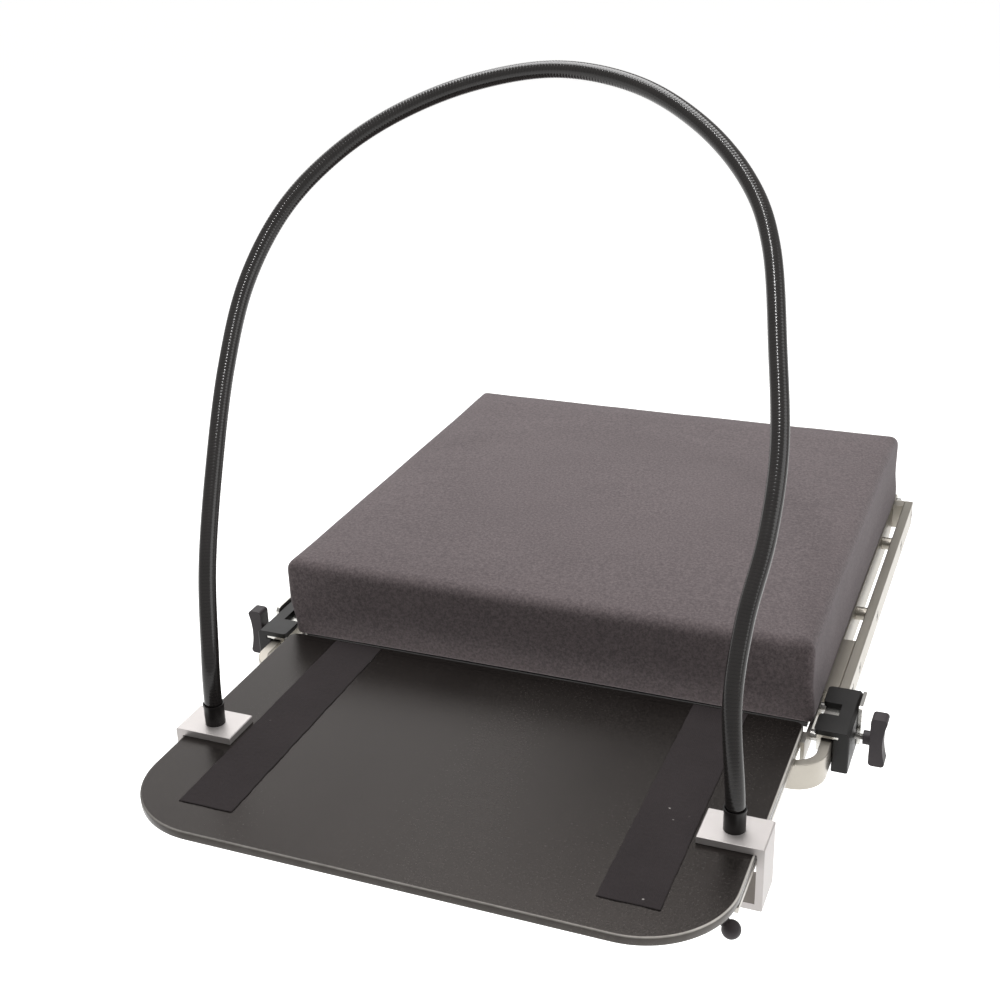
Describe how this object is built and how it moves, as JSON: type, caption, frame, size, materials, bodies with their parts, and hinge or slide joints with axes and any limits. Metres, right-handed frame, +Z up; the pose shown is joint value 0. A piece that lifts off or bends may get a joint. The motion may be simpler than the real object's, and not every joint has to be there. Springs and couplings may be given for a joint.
{
  "type": "treatment table head section",
  "caption": "Head section of a treatment table: square pad on a railed tilting frame, hand rest board in front, and a gooseneck drape arch on two edge clamps.",
  "frame": {"origin": "centre of the four table bolts, on the brackets' rear faces", "axes": "+X right seen from the head end, +Y towards the table, +Z up; the head end points along -Y"},
  "size_m": [0.652, 0.901, 0.6309],
  "materials": {
    "painted_steel": "satin black powder coat",
    "steel_bright": "bright zinc plated",
    "steel_screws": "zinc plated",
    "side_plate_aluminium": "satin anodised",
    "deck_aluminium": "mill finish",
    "rail_stainless": "satin stainless",
    "hook_tape": "black hook and loop",
    "pad_cover": "matt woven pad cover",
    "foam": "open cell foam",
    "plywood": "raw plywood",
    "board_laminate": "satin black laminate",
    "arm_aluminium": "satin",
    "hook_steel": "bright steel",
    "clamp_plastic": "black moulded",
    "knob_plastic": "black moulded",
    "clamp_aluminium": "satin anodised",
    "ferrule_black": "black",
    "sheath_vinyl": "ribbed black sheath",
    "core_steel": "wound steel strip"
  },
  "bodies": {
    "table_hinge": {"hinge_brackets": "painted_steel", "hinge_shaft": "steel_bright", "shaft_collars": "steel_bright"},
    "deck": {"side_plate_left": "side_plate_aluminium", "side_plate_right": "side_plate_aluminium", "deck_panel": "deck_aluminium", "cross_rails": "painted_steel", "accessory_rail_left": "rail_stainless", "accessory_rail_right": "rail_stainless", "front_blocks": "side_plate_aluminium", "rear_blocks": "side_plate_aluminium", "rail_spacers": "side_plate_aluminium", "rail_screws": "steel_screws", "head_end_bar": "rail_stainless", "deck_screws": "steel_screws", "deck_tapes": "hook_tape"},
    "cushion": {"cushion_cover": "pad_cover", "cushion_foam": "foam", "cushion_base": "plywood", "cushion_tapes": "hook_tape"},
    "board": {"rest_board": "board_laminate", "board_tapes": "hook_tape", "board_arm_left": "arm_aluminium", "board_arm_right": "arm_aluminium", "board_screws": "steel_screws", "hook_spacers": "steel_bright", "hook_screws": "steel_screws", "rail_hook_left": "hook_steel", "rail_hook_right": "hook_steel", "clamp_body_left": "clamp_plastic", "clamp_body_right": "clamp_plastic", "clamp_plate_left": "hook_steel", "clamp_plate_right": "hook_steel"},
    "pad_left": {"clamp_pad_left": "steel_bright"},
    "pad_right": {"clamp_pad_right": "steel_bright"},
    "knob_left": {"knob_stud_left": "steel_bright", "rail_knob_left": "knob_plastic"},
    "knob_right": {"knob_stud_right": "steel_bright", "rail_knob_right": "knob_plastic"},
    "arch_carriage": {"arch_clamp_left": "clamp_aluminium", "arch_clamp_right": "clamp_aluminium", "arch_ferrule_left": "ferrule_black", "arch_ferrule_right": "ferrule_black"},
    "press_left": {"press_pad_left": "steel_bright"},
    "press_right": {"press_pad_right": "steel_bright"},
    "lever_left": {"clamp_screw_left": "steel_bright", "ball_lever_left": "knob_plastic"},
    "lever_right": {"clamp_screw_right": "steel_bright", "ball_lever_right": "knob_plastic"},
    "arch": {"gooseneck_sheath": "sheath_vinyl", "gooseneck_core": "core_steel"}
  },
  "joints": [
    {"name": "head_tilt", "type": "hinge", "parent": "table_hinge", "child": "deck", "pos_m": [0, -0.023, 0], "axis": [-1, 0, 0], "range_deg": [-25, 15]},
    {"name": "cushion_lift", "type": "slide", "parent": "deck", "child": "cushion", "axis": [0, 0, 1], "range_m": [0, 0.15]},
    {"name": "board_slide", "type": "slide", "parent": "deck", "child": "board", "axis": [0, -1, 0], "range_m": [0, 0.018]},
    {"name": "arch_slide", "type": "slide", "parent": "board", "child": "arch_carriage", "axis": [0, 1, 0], "range_m": [-0.04, 0.1]},
    {"name": "arch_lean", "type": "hinge", "parent": "arch_carriage", "child": "arch", "pos_m": [0, -0.758, 0.05395], "axis": [1, 0, 0], "range_deg": [-15, 15]},
    {"name": "pad_travel_left", "type": "slide", "parent": "board", "child": "pad_left", "axis": [-1, 0, 0], "range_m": [0, 0.003]},
    {"name": "knob_turn_left", "type": "hinge", "parent": "pad_left", "child": "knob_left", "pos_m": [-0.2825, -0.543, 0], "axis": [-1, 0, 0], "range_deg": [0, 1081]},
    {"name": "press_travel_left", "type": "slide", "parent": "arch_carriage", "child": "press_left", "axis": [0, 0, -1], "range_m": [0, 0.005]},
    {"name": "lever_turn_left", "type": "hinge", "parent": "press_left", "child": "lever_left", "pos_m": [-0.22, -0.758, 0], "axis": [0, 0, -1], "range_deg": [0, 1441]},
    {"name": "pad_travel_right", "type": "slide", "parent": "board", "child": "pad_right", "axis": [1, 0, 0], "range_m": [0, 0.003]},
    {"name": "knob_turn_right", "type": "hinge", "parent": "pad_right", "child": "knob_right", "pos_m": [0.2825, -0.543, 0], "axis": [1, 0, 0], "range_deg": [0, 1081]},
    {"name": "press_travel_right", "type": "slide", "parent": "arch_carriage", "child": "press_right", "axis": [0, 0, -1], "range_m": [0, 0.005]},
    {"name": "lever_turn_right", "type": "hinge", "parent": "press_right", "child": "lever_right", "pos_m": [0.22, -0.758, 0], "axis": [0, 0, -1], "range_deg": [0, 1441]}
  ],
  "couplings": [
    {"joint": "knob_turn_left", "follows": "pad_travel_left", "rad_per_m": 6283.2},
    {"joint": "lever_turn_left", "follows": "press_travel_left", "rad_per_m": 5026.5},
    {"joint": "knob_turn_right", "follows": "pad_travel_right", "rad_per_m": 6283.2},
    {"joint": "lever_turn_right", "follows": "press_travel_right", "rad_per_m": 5026.5}
  ]
}
